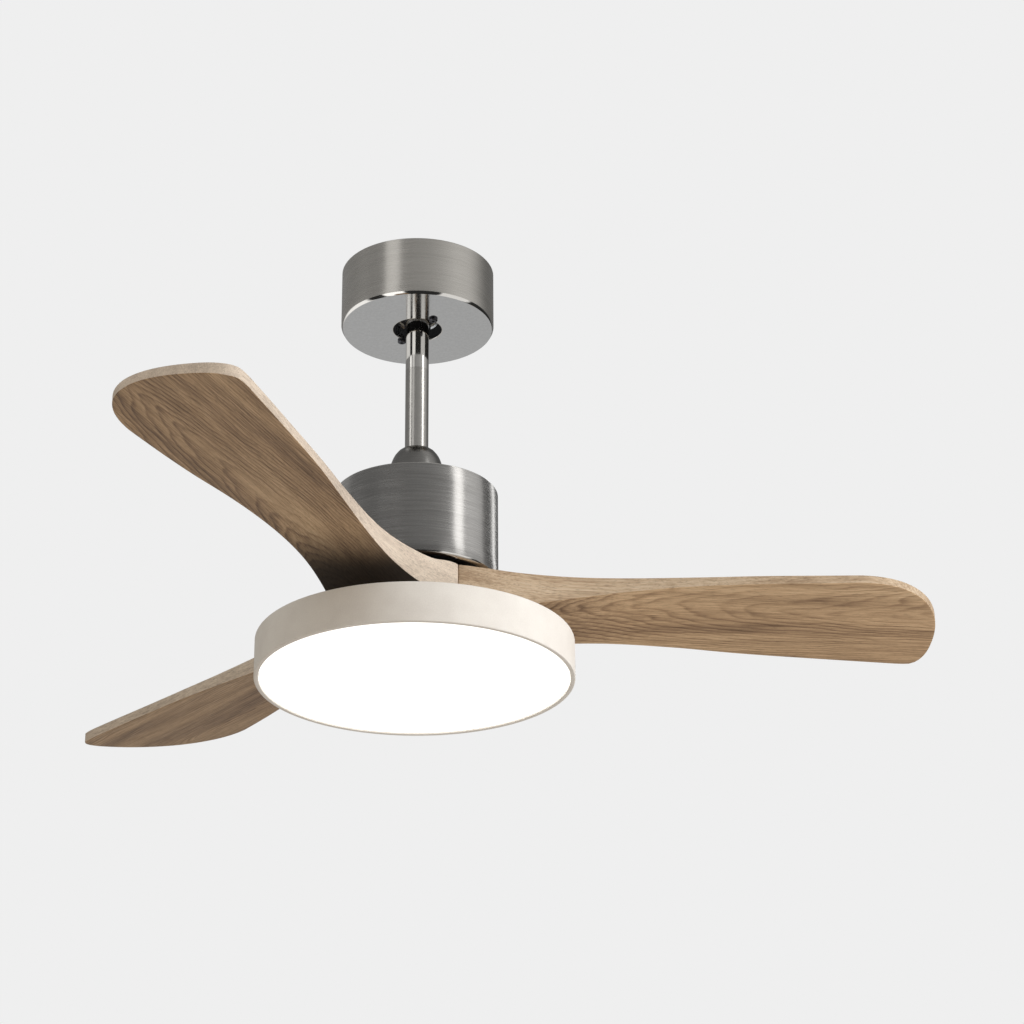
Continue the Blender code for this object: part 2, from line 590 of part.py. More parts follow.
def make_blade(number, material):
    bm = bmesh.new()
    rings = [[bm.verts.new(point) for point in blade_section(x)] for x in blade_stations()]
    for near, far in zip(rings, rings[1:]):
        for i in range(len(near)):
            j = (i + 1) % len(near)
            bm.faces.new((near[i], near[j], far[j], far[i]))
    bm.faces.new(rings[0])
    bm.faces.new(rings[-1])
    bmesh.ops.recalc_face_normals(bm, faces=bm.faces)
    seam_gap = GAP / 2
    for side in (-1, 1):
        normal = Vector((-sin(radians(60)), side * cos(radians(60)), 0))
        cut = bmesh.ops.bisect_plane(bm, geom=bm.verts[:] + bm.edges[:] + bm.faces[:], plane_co=-normal * seam_gap,
                                     plane_no=normal, clear_outer=True)
        rim = [item for item in cut["geom_cut"] if isinstance(item, bmesh.types.BMEdge)]
        bmesh.ops.holes_fill(bm, edges=rim, sides=0)
    turn_about_z(bm, BLADE_TURN + (number - 1) * 360 / BLADE_COUNT)
    blade = add_object(f"blade_{number}", bm, material)
    cuts = [rod_mesh(WOOD_BORE, (0, 0, WOOD_BOTTOM - 0.01), (0, 0, WOOD_TOP + 0.01), 36)]
    for x, y in blade_screw_places(number):
        cuts.append(rod_mesh(0.0029, (x, y, WOOD_BOTTOM - 0.01), (x, y, WOOD_TOP + 0.01), 12))
    return combine(blade, cuts, "DIFFERENCE")


def blade_screw_places(number):
    middle = BLADE_TURN + (number - 1) * 360 / BLADE_COUNT
    return [polar(BLADE_SCREW_RADIUS, middle + side * BLADE_SCREW_SPREAD)[:2] for side in (-1, 1)]


def make_hub_plates(steel, dark_steel):
    upper = turned("blade_flange", disc_profile(HUB_PLATE_RADIUS, SHAFT_RADIUS + 0.003, HUB_PLATE_TOP,
                                                HUB_PLATE_BOTTOM), steel, 28)
    lower = turned("blade_clamp_plate", disc_profile(CLAMP_RADIUS, SHAFT_RADIUS + 0.006, CLAMP_TOP,
                                                     CLAMP_BOTTOM), dark_steel, 28)
    places = [place for number in range(1, BLADE_COUNT + 1) for place in blade_screw_places(number)]
    for plate, bottom, top in ((upper, HUB_PLATE_BOTTOM, HUB_PLATE_TOP), (lower, CLAMP_BOTTOM, CLAMP_TOP)):
        holes = [rod_mesh(0.0028, (x, y, bottom - 0.002), (x, y, top + 0.002), 10) for x, y in places]
        combine(plate, holes, "DIFFERENCE")
    for number, place in enumerate(places, 1):
        screw(f"blade_screw_{number}", place, CLAMP_BOTTOM - GAP - 0.0024, HUB_PLATE_TOP - 0.0005,
              0.0050, 0.0024, dark_steel)


# Light.

BRACKET_TOP = -0.4008
BRACKET_BOTTOM = -0.4028
BRACKET_RADIUS = 0.0440
NECK_TOP = BRACKET_BOTTOM - GAP
NECK_RADIUS = 0.0500
PAN_HOLE = 0.0180
PAN_SCREW_ANGLES = (80, 200, 320)
PAN_SCREW_RADIUS = 0.0340
RIM_WIDTH = 0.0046
BOARD_TOP = -0.4275
BOARD_BOTTOM = BOARD_TOP - 0.0016
DIFFUSER_RADIUS = LIGHT_RADIUS - RIM_WIDTH - 0.0006
SKIRT_TOP = -0.4350
LOCK_RING_RADIUS = DIFFUSER_RADIUS - 0.0053
LUG_ANGLES = (20, 140, 260)
POST_ANGLES = (30, 150, 270)


def hex_nut(name, top, bottom, material):
    corner = 0.0150
    outline = [polar(corner, 60 * side)[:2] for side in range(6)]
    nut = add_object(name, prism_mesh(outline, bottom, top), material)
    return combine(nut, [rod_mesh(SHAFT_RADIUS + GAP, (0, 0, bottom - 0.01), (0, 0, top + 0.01), 32)], "DIFFERENCE")


def make_light_bracket(material, dark_steel):
    bracket = turned("light_bracket", disc_profile(BRACKET_RADIUS, SHAFT_RADIUS + GAP, BRACKET_TOP,
                                                   BRACKET_BOTTOM), material, 24)
    holes = []
    for number, angle in enumerate(PAN_SCREW_ANGLES, 1):
        x, y, _ = polar(PAN_SCREW_RADIUS, angle)
        holes.append(rod_mesh(0.0021, (x, y, BRACKET_BOTTOM - 0.003), (x, y, BRACKET_TOP + 0.003), 10))
        screw(f"pan_screw_{number}", (x, y), NECK_TOP - SHEET - GAP - 0.0024, BRACKET_TOP + 0.0010,
              0.0042, 0.0018, dark_steel)
    return combine(bracket, holes, "DIFFERENCE")


def make_pan(material):
    """The lamp's metal pan: a raised neck, a flat back, a straight wall and a thick lower rim."""
    back_inside = LIGHT_TOP - SHEET
    wall_inside = LIGHT_RADIUS - 0.0016
    rim_inside = LIGHT_RADIUS - RIM_WIDTH
    rim_height = 0.0040
    edge = 0.0014
    profile = [(PAN_HOLE, NECK_TOP), (NECK_RADIUS, NECK_TOP), (NECK_RADIUS, LIGHT_TOP),
               (LIGHT_RADIUS - edge, LIGHT_TOP), (LIGHT_RADIUS, LIGHT_TOP - edge),
               (LIGHT_RADIUS, LIGHT_BOTTOM + edge), (LIGHT_RADIUS - edge, LIGHT_BOTTOM),
               (rim_inside, LIGHT_BOTTOM), (rim_inside, LIGHT_BOTTOM + rim_height),
               (wall_inside, LIGHT_BOTTOM + rim_height + 0.0020), (wall_inside, back_inside),
               (NECK_RADIUS - SHEET, back_inside), (NECK_RADIUS - SHEET, NECK_TOP - SHEET),
               (PAN_HOLE, NECK_TOP - SHEET)]
    pan = turned("lamp_pan", profile, material, 56)
    holes = []
    for angle in PAN_SCREW_ANGLES:
        x, y, _ = polar(PAN_SCREW_RADIUS, angle)
        holes.append(rod_mesh(0.0021, (x, y, NECK_TOP - 0.004), (x, y, NECK_TOP + 0.004), 10))
    return combine(pan, holes, "DIFFERENCE")


def lugs(angles, near, far, bottom, top, width):
    """Small blocks standing across a ring, from radius near to far."""
    blocks = []
    for angle in angles:
        block = box_mesh((far - near, width, top - bottom), ((near + far) / 2, 0, (top + bottom) / 2))
        blocks.append(turn_about_z(block, angle))
    return blocks


def make_diffuser(material):
    """The opal cover: a barely crowned face and a skirt with inward bayonet lugs."""
    face = LIGHT_BOTTOM + 0.0012
    thick = 0.0020
    crown = [(DIFFUSER_RADIUS * step / 2, face - 0.0011 * (1 - (step / 2) ** 2)) for step in range(2)]
    skirt_inside = DIFFUSER_RADIUS - thick
    profile = crown + [(DIFFUSER_RADIUS - 0.0012, face), (DIFFUSER_RADIUS, face + 0.0012),
                       (DIFFUSER_RADIUS, SKIRT_TOP), (skirt_inside, SKIRT_TOP),
                       (skirt_inside, face + thick)] + [(radius, z + thick) for radius, z in reversed(crown)]
    cover = turned("diffuser", profile, material, 56)
    return combine(cover, lugs(LUG_ANGLES, LOCK_RING_RADIUS + 0.0006, skirt_inside + 0.0008, SKIRT_TOP - 0.0034,
                               SKIRT_TOP - 0.0012, 0.018), "UNION")


def make_lock_ring(material):
    """The fixed ring inside the pan, whose outward catches hold the diffuser's lugs."""
    top = LIGHT_TOP - SHEET - GAP
    bottom = SKIRT_TOP - 0.0062
    profile = disc_profile(LOCK_RING_RADIUS, LOCK_RING_RADIUS - 0.0015, top, bottom)
    ring = turned("diffuser_lock_ring", profile, material, 32)
    return combine(ring, lugs(LUG_ANGLES, LOCK_RING_RADIUS - 0.0008, LOCK_RING_RADIUS + 0.0022,
                              SKIRT_TOP - 0.0060, SKIRT_TOP - 0.0037, 0.022), "UNION")


def make_led_parts(aluminium, phosphor, plastic, brass):
    board = turned("led_board", disc_profile(0.1400, 0.0560, BOARD_TOP, BOARD_BOTTOM), aluminium, 28)
    post_holes = []
    for number, angle in enumerate(POST_ANGLES, 1):
        x, y, _ = polar(0.130, angle)
        post_holes.append(rod_mesh(0.0018, (x, y, BOARD_BOTTOM - 0.003), (x, y, BOARD_TOP + 0.003), 12))
        post = turned_mesh([(0, LIGHT_TOP - SHEET - GAP), (0.0032, LIGHT_TOP - SHEET - GAP),
                            (0.0032, BOARD_TOP + GAP), (0.0015, BOARD_TOP + GAP),
                            (0.0015, BOARD_BOTTOM - 0.0012), (0, BOARD_BOTTOM - 0.0012)], 12)
        bmesh.ops.translate(post, verts=post.verts, vec=(x, y, 0))
        add_object(f"board_post_{number}", post, brass)
    combine(board, post_holes, "DIFFERENCE")
    for name, radius in (("led_strip_inner", 0.080), ("led_strip_outer", 0.115)):
        turned(name, disc_profile(radius + 0.003, radius - 0.003, BOARD_BOTTOM - GAP, BOARD_BOTTOM - 0.0014),
               phosphor, 28)
    driver_top = LIGHT_TOP - SHEET - GAP
    driver = box_mesh((0.034, 0.090, 0.0140), (0.098, 0, driver_top - 0.0070), 0.0012)
    add_object("led_driver", driver, plastic)


def make_light(white, opal, steel, dark_steel, aluminium, phosphor, plastic, brass):
    hex_nut("shaft_nut_upper", BRACKET_TOP + 0.0036, BRACKET_TOP + GAP, steel)
    make_light_bracket(steel, dark_steel)
    hex_nut("shaft_nut_lower", BRACKET_BOTTOM - GAP, BRACKET_BOTTOM - 0.0045, steel)
    make_pan(white)
    make_lock_ring(plastic)
    make_diffuser(opal)
    make_led_parts(aluminium, phosphor, plastic, brass)


def clear_scene():
    for obj in list(bpy.data.objects):
        bpy.data.objects.remove(obj, do_unlink=True)


def build():
    clear_scene()
    nickel = finish("brushed_nickel", "9a9894", 1.0, 0.30)
    dark_nickel = finish("dark_satin_nickel", "6e6c69", 1.0, 0.38)
    steel = finish("plated_steel", "a3a5a6", 1.0, 0.35)
    dark_steel = finish("black_zinc_steel", "4a4a4c", 0.9, 0.45)
    zinc = finish("cast_zinc", "8f9090", 0.9, 0.55)
    aluminium = finish("cast_aluminium", "b4b6b8", 0.9, 0.45)
    walnut = finish("oiled_walnut", "80684f", 0.0, 0.50)
    white = finish("warm_white_enamel", "ddd8cf", 0.0, 0.45)
    opal = finish("opal_acrylic", "f6f6f4", 0.0, 0.30)
    nylon = finish("black_nylon", "232325", 0.0, 0.55)
    plastic = finish("white_abs", "dcdcd8", 0.0, 0.50)
    copper = finish("lacquered_copper", "9c5a34", 0.9, 0.35)
    magnet = finish("ferrite", "3a3a3d", 0.2, 0.70)
    phosphor = finish("yellow_phosphor", "e6c84a", 0.0, 0.60)
    brass = finish("turned_brass", "b99a54", 1.0, 0.35)
    make_ceiling_mount(steel, nickel, dark_steel, plastic, nylon)
    make_ball_seat(plastic)
    make_downrod_group(nickel, dark_nickel, zinc, nylon, steel)
    make_motor(nickel, steel, aluminium, copper, magnet)
    for number in range(1, BLADE_COUNT + 1):
        make_blade(number, walnut)
    make_hub_plates(steel, dark_steel)
    make_light(white, opal, steel, dark_steel, aluminium, phosphor, plastic, brass)


build()
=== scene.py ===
"""Looks of the ceiling fan: brushed nickel, walnut blades and an opal light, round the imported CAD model.

Metres, +Z up. The ceiling is z = 0 and the fan hangs below it. The front faces -Y.
"""

import json
from math import cos, hypot, pi, radians, sin, sqrt

import bpy
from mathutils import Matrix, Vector


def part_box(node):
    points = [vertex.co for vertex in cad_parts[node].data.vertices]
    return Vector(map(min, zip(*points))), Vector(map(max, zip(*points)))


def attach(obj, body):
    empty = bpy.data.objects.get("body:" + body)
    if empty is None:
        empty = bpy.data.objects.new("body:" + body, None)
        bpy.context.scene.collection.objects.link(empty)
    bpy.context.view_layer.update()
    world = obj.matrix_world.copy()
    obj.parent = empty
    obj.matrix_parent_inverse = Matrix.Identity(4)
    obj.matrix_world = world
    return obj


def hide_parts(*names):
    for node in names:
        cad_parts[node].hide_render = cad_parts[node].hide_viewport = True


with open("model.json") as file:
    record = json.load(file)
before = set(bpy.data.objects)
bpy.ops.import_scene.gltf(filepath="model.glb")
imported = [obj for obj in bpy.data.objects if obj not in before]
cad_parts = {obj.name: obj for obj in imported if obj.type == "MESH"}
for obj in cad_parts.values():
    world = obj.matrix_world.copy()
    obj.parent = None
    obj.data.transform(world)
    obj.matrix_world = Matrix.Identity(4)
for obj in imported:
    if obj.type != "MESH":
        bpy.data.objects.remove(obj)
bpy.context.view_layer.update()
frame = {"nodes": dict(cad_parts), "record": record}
nodes = frame["nodes"]
bpy.ops.object.select_all(action="DESELECT")


# Camera: low in front of the fan, looking up at its light.

camera_data = bpy.data.cameras.new("camera")
camera_data.lens = 96.507
camera = bpy.data.objects.new("camera", camera_data)
bpy.context.scene.collection.objects.link(camera)
camera.location = (0, -2.4868, -1.3986)
camera.rotation_euler = (1.9972, 0.0074, -0.035)
bpy.context.scene.camera = camera


# Materials.

def linear(colour):
    """An sRGB hex colour as linear RGBA."""
    channels = [int(colour[i:i + 2], 16) / 255 for i in (0, 2, 4)]
    return (*[c / 12.92 if c <= 0.04045 else ((c + 0.055) / 1.055) ** 2.4 for c in channels], 1)


def add_node(tree, kind, inputs=None, **settings):
    """Adds a node, sets its properties, and fills its inputs with values or links."""
    node = tree.nodes.new(kind)
    for name, value in settings.items():
        setattr(node, name, value)
    for socket, value in (inputs or {}).items():
        if isinstance(value, bpy.types.NodeSocket):
            tree.links.new(value, node.inputs[socket])
        else:
            node.inputs[socket].default_value = value
    return node


def start_material(name, **sockets):
    """A material with one Principled shader, its sockets set straight on it."""
    material = bpy.data.materials.new(name)
    material.use_nodes = True
    tree = material.node_tree
    shader = tree.nodes["Principled BSDF"]
    for socket, value in sockets.items():
        shader.inputs[socket.replace("_", " ")].default_value = value
    return material, tree, shader


def ramp(tree, factor, stops):
    """A colour ramp; each stop is (position, sRGB hex or grey level)."""
    node = add_node(tree, "ShaderNodeValToRGB", {"Fac": factor})
    band = node.color_ramp
    while len(band.elements) < len(stops):
        band.elements.new(1)
    for element, (position, colour) in zip(band.elements, stops):
        element.position = position
        element.color = linear(colour) if isinstance(colour, str) else (colour, colour, colour, 1)
    return node.outputs["Color"]


def brushed(name, light, dark, roughness, streak_mm, depth_mm, anisotropy=0.75):
    """Metal turned on a lathe against a scouring belt: fine rings round the axis, which draw
    every highlight out into an upright band."""
    material, tree, shader = start_material(name, Metallic=1.0, Anisotropic=anisotropy,
                                            Anisotropic_Rotation=0.25)
    place = add_node(tree, "ShaderNodeTexCoord").outputs["Object"]
    fine = 1000 / streak_mm
    fine_place = add_node(tree, "ShaderNodeMapping", {"Vector": place, "Scale": (30, 30, fine)})
    streaks = add_node(tree, "ShaderNodeTexNoise", {"Vector": fine_place.outputs[0], "Scale": 1.0,
                                                    "Detail": 4.0, "Roughness": 0.7})
    broad_place = add_node(tree, "ShaderNodeMapping", {"Vector": place, "Scale": (9, 9, fine / 5)})
    broad = add_node(tree, "ShaderNodeTexNoise", {"Vector": broad_place.outputs[0], "Scale": 1.0,
                                                  "Detail": 2.0})
    lines = add_node(tree, "ShaderNodeMix", {"Factor": 0.3, "A": streaks.outputs["Fac"],
                                             "B": broad.outputs["Fac"]}, data_type="FLOAT").outputs[0]
    tree.links.new(ramp(tree, lines, [(0.34, dark), (0.66, light)]), shader.inputs["Base Color"])
    rough = add_node(tree, "ShaderNodeMapRange", {"Value": lines, "From Min": 0.3, "From Max": 0.7,
                                                  "To Min": roughness - 0.04, "To Max": roughness + 0.05})
    tree.links.new(rough.outputs[0], shader.inputs["Roughness"])
    bump = add_node(tree, "ShaderNodeBump", {"Height": lines, "Strength": 0.3, "Distance": depth_mm / 1000})
    tree.links.new(bump.outputs[0], shader.inputs["Normal"])
    return material


def drawn(name, light, dark, roughness, mottle_mm):
    """Metal polished or drawn lengthwise: upright hairlines and faint clouding, no cross grain."""
    material, tree, shader = start_material(name, Metallic=1.0)
    place = add_node(tree, "ShaderNodeTexCoord").outputs["Object"]
    hair_place = add_node(tree, "ShaderNodeMapping", {"Vector": place, "Scale": (2600, 2600, 12)})
    hairs = add_node(tree, "ShaderNodeTexNoise", {"Vector": hair_place.outputs[0], "Scale": 1.0,
                                                  "Detail": 2.0})
    clouds = add_node(tree, "ShaderNodeTexNoise", {"Vector": place, "Scale": 1000 / mottle_mm,
                                                   "Detail": 4.0, "Roughness": 0.6})
    both = add_node(tree, "ShaderNodeMix", {"Factor": 0.5, "A": hairs.outputs["Fac"],
                                            "B": clouds.outputs["Fac"]}, data_type="FLOAT").outputs[0]
    tree.links.new(ramp(tree, both, [(0.36, dark), (0.64, light)]), shader.inputs["Base Color"])
    rough = add_node(tree, "ShaderNodeMapRange", {"Value": both, "From Min": 0.36, "From Max": 0.64,
                                                  "To Min": roughness * 0.8, "To Max": roughness * 1.25})
    tree.links.new(rough.outputs[0], shader.inputs["Roughness"])
    return material


def grained(name, light, dark, grain_mm, depth_mm, roughness, metallic=0.0, **sockets):
    """A surface with an even fine grain: powder coat, casting skin, plating or moulded plastic."""
    material, tree, shader = start_material(name, Metallic=metallic, **sockets)
    place = add_node(tree, "ShaderNodeTexCoord").outputs["Object"]
    grain = add_node(tree, "ShaderNodeTexNoise", {"Vector": place, "Scale": 1000 / grain_mm, "Detail": 2.0,
                                                  "Roughness": 0.6})
    patches = add_node(tree, "ShaderNodeTexNoise", {"Vector": place, "Scale": 1000 / (grain_mm * 25),
                                                    "Detail": 2.0})
    both = add_node(tree, "ShaderNodeMix", {"Factor": 0.5, "A": grain.outputs["Fac"],
                                            "B": patches.outputs["Fac"]}, data_type="FLOAT")
    tree.links.new(ramp(tree, both.outputs[0], [(0.35, dark), (0.65, light)]), shader.inputs["Base Color"])
    rough = add_node(tree, "ShaderNodeMapRange", {"Value": both.outputs[0],
                                                  "From Min": 0.35, "From Max": 0.65,
                                                  "To Min": roughness + 0.05, "To Max": roughness - 0.05})
    tree.links.new(rough.outputs[0], shader.inputs["Roughness"])
    bump = add_node(tree, "ShaderNodeBump", {"Height": grain.outputs["Fac"], "Strength": 0.5,
                                             "Distance": depth_mm / 1000})
    tree.links.new(bump.outputs[0], shader.inputs["Normal"])
    return material


def walnut(name, palette, figure, painted_shade_and_light_colour, painted_shade_and_light_by, relief_mm=0.25):
    """Oiled walnut: narrow growth rings cut slantwise by the carving into arches and long stripes,
    broad brown streaks, hair-fine fibre and short dark pores. The board attribute runs along the
    blade; a second attribute takes the wood towards a flat colour, which paints shade onto the faces and
    light onto the edges."""
    material, tree, shader = start_material(name, Specular_IOR_Level=0.3)
    board = add_node(tree, "ShaderNodeAttribute", attribute_name="board").outputs["Vector"]
    # How far the wood goes towards the flat colour: painted shade on the faces, painted light on the edges.
    painted_shade_and_light = add_node(tree, "ShaderNodeAttribute", attribute_name=painted_shade_and_light_by).outputs["Fac"]

    def stretched_noise(along, across, detail, roughness=0.55):
        place = add_node(tree, "ShaderNodeMapping", {"Vector": board, "Scale": (along, across, across)})
        return add_node(tree, "ShaderNodeTexNoise", {"Vector": place.outputs[0], "Scale": 1.0,
                                                     "Detail": detail, "Roughness": roughness})

    def mixed(share, first, second):
        return add_node(tree, "ShaderNodeMix", {"Factor": share, "A": first, "B": second},
                        data_type="FLOAT").outputs[0]

    centred = add_node(tree, "ShaderNodeVectorMath", {0: stretched_noise(4.5, 16, 3.0).outputs["Color"],
                                                      1: (0.5, 0.5, 0.5)}, operation="SUBTRACT")
    shift = add_node(tree, "ShaderNodeVectorMath", {0: centred.outputs[0], 1: (0.0, 0.030, 0.022)},
                     operation="MULTIPLY")
    bent = add_node(tree, "ShaderNodeVectorMath", {0: board, 1: shift.outputs[0]}, operation="ADD")
    heart = add_node(tree, "ShaderNodeMapping", {"Vector": bent.outputs[0], "Location": HEARTWOOD,
                                                 "Rotation": (0, radians(-3.2), radians(0.8))})
    ring_scale = 2 * pi / 20 / (RING_MM / 1000)
    saw = add_node(tree, "ShaderNodeTexWave", {"Vector": heart.outputs[0], "Scale": ring_scale,
                                               "Distortion": 0.8, "Detail": 2.0, "Detail Scale": 0.6},
                   wave_type="RINGS", rings_direction="X", wave_profile="SAW").outputs["Fac"]
    rings = ramp(tree, saw, [(0.0, 0.62), (0.10, 0.74), (0.55, 0.58), (0.88, 0.20), (1.0, 0.50)])
    streaks = stretched_noise(4, 75, 3.0).outputs["Fac"]
    clouds = stretched_noise(2.0, 24, 4.0, 0.5).outputs["Fac"]
    fading = ramp(tree, stretched_noise(6, 18, 2.0).outputs["Fac"], [(0.36, 0.45), (0.60, 1.0)])
    fibres = stretched_noise(16, 760, 3.0, 0.65).outputs["Fac"]
    pores = stretched_noise(120, 1700, 1.0).outputs["Fac"]
    broad = mixed(0.36, clouds, streaks)
    share = add_node(tree, "ShaderNodeMath", {0: fading, 1: figure}, operation="MULTIPLY").outputs[0]
    ringed = mixed(share, broad, rings)
    figured = mixed(0.25, ringed, fibres)
    with_painted_shade_and_light = add_node(tree, "ShaderNodeMix", {"Factor": painted_shade_and_light, "A": ramp(tree, figured, palette),
                                           "B": linear(painted_shade_and_light_colour)}, data_type="RGBA").outputs["Result"]
    combed = add_node(tree, "ShaderNodeMix", {"Factor": 0.8, "A": with_painted_shade_and_light, "B": ramp(
        tree, mixed(0.4, fibres, streaks), [(0.36, 0.74), (0.52, 1.0), (0.66, 1.12)])},
        data_type="RGBA", blend_type="MULTIPLY").outputs["Result"]
    worn = add_node(tree, "ShaderNodeMix", {"Factor": 0.8, "A": combed, "B": ramp(
        tree, pores, [(0.30, 0.55), (0.43, 1.0)])}, data_type="RGBA", blend_type="MULTIPLY")
    tree.links.new(worn.outputs["Result"], shader.inputs["Base Color"])
    rough = add_node(tree, "ShaderNodeMapRange", {"Value": fibres, "From Min": 0.3, "From Max": 0.7,
                                                  "To Min": 0.60, "To Max": 0.47})
    tree.links.new(rough.outputs[0], shader.inputs["Roughness"])
    bump = add_node(tree, "ShaderNodeBump", {"Height": mixed(0.5, fibres, pores), "Strength": 0.3,
                                             "Distance": relief_mm / 1000})
    tree.links.new(bump.outputs[0], shader.inputs["Normal"])
    return material


RING_MM = 3.4                       # from one growth ring to the next
HEARTWOOD = (0.0, 0.012, 0.285)     # brings the tree's heart, which runs above the blade, to the axis

# Brushed nickel: grey metal with fine rings that draw each highlight into an upright band.
brushed_nickel = brushed("brushed_nickel", "b0aeab", "8e8c89", 0.25, 0.45, 0.012)
# The canopy's wall: the same plating, paler and brushed more finely, so its bands are softer.
canopy_nickel = brushed("satin_nickel_canopy", "dcd8d1", "c9c5be", 0.27, 0.4, 0.005, 0.6)
# The dome: a darker satin plating with a dull broad sheen.
dark_nickel = brushed("dark_satin_nickel", "a09e9b", "85837f", 0.24, 0.6, 0.008, 0.5)
# The rod below the canopy: drawn lengthwise, so its stripes run straight down and are soft.
satin_nickel = drawn("satin_nickel_rod", "c4c1bc", "bab7b2", 0.20, 8)
# Rims and the rod's upper end: polished, with crisp bright and dark edges.
polished_nickel = drawn("polished_nickel", "d8d5d0", "cfccc7", 0.08, 5)
# The canopy's underside: near a mirror, with the rod seen again in it.
mirror_nickel = drawn("mirror_nickel", "d6d6d5", "cacac9", 0.11, 3)
# Inside the canopy: unplated steel, much darker than the plating and nearly matt.
raw_inside = grained("raw_dark_steel", "2c2c2e", "202022", 1.5, 0.02, 0.6, 0.4)
# The lamp pan: powder coat, an even warm white with a very fine peel and no glare.
enamel = grained("warm_white_powder_coat", "ece9e5", "e2deda", 0.9, 0.06, 0.50)
# The blades' carved faces: oiled walnut, brown stripes and arches with a low sheen; painted shade darkens
# them towards the roots and all over on the left blades.
walnut_face = walnut("oiled_walnut", [(0.31, "5f4835"), (0.42, "91755b"), (0.50, "b69878"),
                                      (0.58, "ccae8c"), (0.69, "dcc2a0")], 0.34, "231b15", "painted_wood_shade")
# The blades' edges: the same wood sanded paler, with its figure faint; on two blades painted light makes
# the sides paler still.
walnut_edge = walnut("sanded_walnut_edge", [(0.33, "8f765d"), (0.44, "a88e74"), (0.55, "bda78e"),
                                            (0.68, "cdbca6")], 0.20, "fbf3ea", "painted_side_light")
# Zinc plate on pressed steel: bright grey with a faint bluish patchiness.
zinc_steel = grained("zinc_plated_steel", "b4b6b7", "9da0a2", 2.5, 0.01, 0.32, 1.0)
# Black zinc on screws: a dark, slightly oily grey.
black_steel = grained("black_zinc_steel", "55555a", "3c3c3f", 1.2, 0.01, 0.36, 0.9)
# Cast zinc: a dull mid grey with a fine pebbled skin.
cast_zinc = grained("cast_zinc", "9c9c9b", "808181", 0.8, 0.06, 0.52, 0.9)
# Cast aluminium: pale grey, a little sparkle in the casting's grain.
cast_aluminium = grained("cast_aluminium", "bcbec0", "a2a4a6", 0.7, 0.05, 0.45, 0.9)
# Moulded nylon: black with the soft sheen of a spark-eroded mould.
black_nylon = grained("moulded_black_nylon", "2b2b2e", "1e1e20", 0.6, 0.03, 0.52)
# Moulded ABS: a clean off-white with a slight gloss.
white_abs = grained("moulded_white_abs", "e4e4e0", "d6d6d1", 0.6, 0.02, 0.46)
# Lacquered copper wire: red-brown, ridged turn by turn.
copper_wire = brushed("lacquered_copper_wire", "b06a40", "7a4427", 0.34, 1.0, 0.2, 0.3)
# Sintered ferrite: charcoal grey, grainy and matt.
ferrite = grained("sintered_ferrite", "424246", "303033", 0.4, 0.04, 0.7, 0.2)
# LED phosphor: egg yellow, softly lit from within.
phosphor = grained("led_phosphor", "edd25c", "dcbc3e", 0.5, 0.05, 0.6, Emission_Color=linear("ffe9b0"),
                   Emission_Strength=0.8)
# Turned brass: yellow metal with tool rings.
brass = brushed("turned_brass", "c8a860", "a5873f", 0.30, 0.4, 0.02, 0.4)
# Opal acrylic with the lamp on: a smooth, almost even white glow.
opal = grained("opal_acrylic", "fbfbf9", "f5f5f2", 1.5, 0.01, 0.32, Emission_Color=linear("fffdf8"),
               Emission_Strength=1.15)

SLOT_FINISHES = {
    "bracket_steel": zinc_steel, "brushed_nickel": brushed_nickel, "dark_nickel": dark_nickel,
    "black_zinc_steel": black_steel, "cast_zinc": cast_zinc, "cast_aluminium": cast_aluminium,
    "walnut": walnut_face, "white_enamel": enamel, "opal": opal, "black_nylon": black_nylon,
    "white_abs": white_abs, "copper": copper_wire, "ferrite": ferrite, "phosphor": phosphor,
    "brass": brass,
}
for subpart in frame["record"]["subparts"]:
    for slot in nodes[subpart["node"]].material_slots:
        slot.material = SLOT_FINISHES[subpart["material_slot"]]


# Turned pieces.

def arc(centre, radius, start, end, steps):
    """Points on an arc of a (radius, z) outline; the angles are measured from straight down."""
    angles = [radians(start + (end - start) * i / steps) for i in range(steps + 1)]
    return [(centre[0] + radius * sin(a), centre[1] - radius * cos(a)) for a in angles]


MERGE_DISTANCE = 0.00012
POLE_RADIUS = 0.00005       # the smallest ring, which merging closes to a point


def turned(name, outline, finish, segments=128, closed=True):
    """Raises a circle ring by ring along a (radius, z) outline, as a lathe turns a blank."""
    radius, height = outline[0]
    bpy.ops.object.select_all(action="DESELECT")
    bpy.ops.mesh.primitive_circle_add(vertices=segments, radius=radius, location=(0, 0, height))
    piece = bpy.context.object
    piece.name = piece.data.name = name
    bpy.ops.object.transform_apply(location=True)
    bpy.ops.object.mode_set(mode="EDIT")
    bpy.ops.mesh.select_all(action="SELECT")
    stops = outline[1:] + outline[:1] if closed else outline[1:]
    for next_radius, next_height in stops:
        bpy.ops.mesh.extrude_region_move(TRANSFORM_OT_translate={"value": (0, 0, next_height - height)})
        grow = next_radius / radius
        bpy.ops.transform.resize(value=(grow, grow, 1), center_override=(0, 0, next_height))
        radius, height = next_radius, next_height
    bpy.ops.mesh.select_all(action="SELECT")
    bpy.ops.mesh.remove_doubles(threshold=MERGE_DISTANCE)
    bpy.ops.mesh.normals_make_consistent(inside=False)
    bpy.ops.object.mode_set(mode="OBJECT")
    bpy.ops.object.shade_smooth_by_angle(angle=radians(28))
    piece.data.materials.append(finish)
    return piece


def from_axis(face):
    """How far the face's middle is from the fan's upright axis."""
    return hypot(face.center.x, face.center.y)


def paint(piece, finish, chosen):
    """Gives a second finish to the faces that chosen(face) picks."""
    piece.data.materials.append(finish)
    index = len(piece.data.materials) - 1
    for face in piece.data.polygons:
        if chosen(face):
            face.material_index = index


